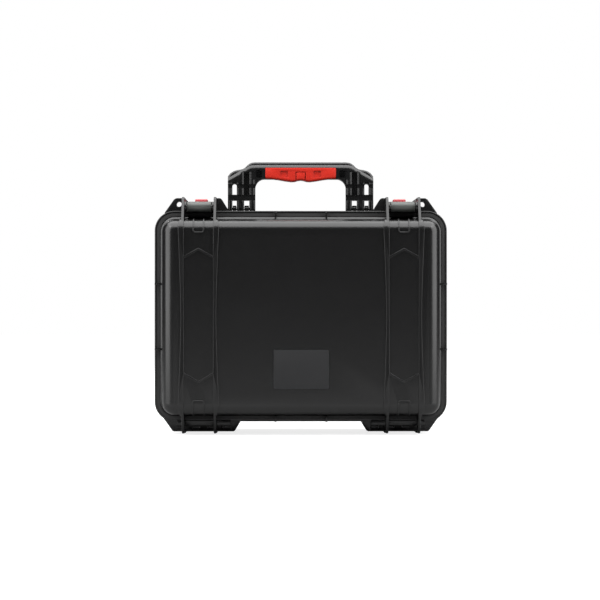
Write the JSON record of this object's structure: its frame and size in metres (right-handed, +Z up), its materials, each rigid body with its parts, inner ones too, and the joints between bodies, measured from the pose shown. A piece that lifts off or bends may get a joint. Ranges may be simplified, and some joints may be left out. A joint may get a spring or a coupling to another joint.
{
  "type": "drone carrying case",
  "caption": "Hard carrying case for a camera drone, hinged lid, press-and-lift latches, folding handle with a soft grip, foam inside.",
  "frame": {"origin": "under the middle of the case, on the surface that it stands on", "axes": "+Z up from the hinge side to the handle, -Y out of the lid's face, +X to the right as the lid is faced"},
  "size_m": [0.34, 0.152, 0.318],
  "materials": {
    "shell_black": "fine textured black plastic",
    "latch_grey": "satin dark grey plastic",
    "plate_grey": "satin dark grey plastic, blank",
    "button_red": "smooth red plastic",
    "grip_red": "soft matt red overmould",
    "foam_black": "open-cell black foam",
    "seal_rubber": "matt black rubber",
    "steel": "bright drawn steel"
  },
  "bodies": {
    "base": {"base_shell": "shell_black", "base_foam": "foam_black", "hinge_pin_left": "steel", "hinge_pin_right": "steel", "handle_pin_left": "steel", "handle_pin_right": "steel", "valve_body": "shell_black", "valve_ring": "seal_rubber", "valve_cap": "latch_grey"},
    "lid": {"lid_shell": "shell_black", "lid_seal": "seal_rubber", "lid_foam": "foam_black", "name_plate": "plate_grey", "latch_pin_left": "steel", "latch_pin_right": "steel"},
    "handle": {"handle_frame": "shell_black", "handle_grip": "grip_red"},
    "latch_left": {"latch_lever_left": "latch_grey", "catch_pin_left": "steel", "button_spring_left": "steel"},
    "latch_right": {"latch_lever_right": "latch_grey", "catch_pin_right": "steel", "button_spring_right": "steel"},
    "catch_left": {"latch_catch_left": "latch_grey"},
    "catch_right": {"latch_catch_right": "latch_grey"},
    "button_left": {"release_button_left": "button_red"},
    "button_right": {"release_button_right": "button_red"}
  },
  "joints": [
    {"name": "lid_hinge", "type": "hinge", "parent": "base", "child": "lid", "pos_m": [0, -0.026, 0.008], "axis": [1, 0, 0], "range_deg": [0, 100]},
    {"name": "handle_hinge", "type": "hinge", "parent": "base", "child": "handle", "pos_m": [0, 0.01, 0.263], "axis": [1, 0, 0], "range_deg": [-90, 70]},
    {"name": "latch_left_hinge", "type": "hinge", "parent": "lid", "child": "latch_left", "pos_m": [-0.1175, -0.046, 0.263], "axis": [1, 0, 0], "range_deg": [0, 100]},
    {"name": "latch_right_hinge", "type": "hinge", "parent": "lid", "child": "latch_right", "pos_m": [0.1175, -0.046, 0.263], "axis": [1, 0, 0], "range_deg": [0, 100]},
    {"name": "button_left_press", "type": "slide", "parent": "latch_left", "child": "button_left", "axis": [0, 0, -1], "range_m": [0, 0.0028], "stiffness_N_per_m": 600, "springref_m": -0.002, "deforming": ["button_spring_left"]},
    {"name": "button_right_press", "type": "slide", "parent": "latch_right", "child": "button_right", "axis": [0, 0, -1], "range_m": [0, 0.0028], "stiffness_N_per_m": 600, "springref_m": -0.002, "deforming": ["button_spring_right"]},
    {"name": "catch_left_hinge", "type": "hinge", "parent": "latch_left", "child": "catch_left", "pos_m": [-0.1175, 0.0355, 0.2635], "axis": [1, 0, 0], "range_deg": [0, 30]},
    {"name": "catch_right_hinge", "type": "hinge", "parent": "latch_right", "child": "catch_right", "pos_m": [0.1175, 0.0355, 0.2635], "axis": [1, 0, 0], "range_deg": [0, 30]}
  ],
  "couplings": [
    {"joint": "catch_left_hinge", "follows": "button_left_press", "rad_per_m": 186.9},
    {"joint": "catch_right_hinge", "follows": "button_right_press", "rad_per_m": 186.9}
  ]
}
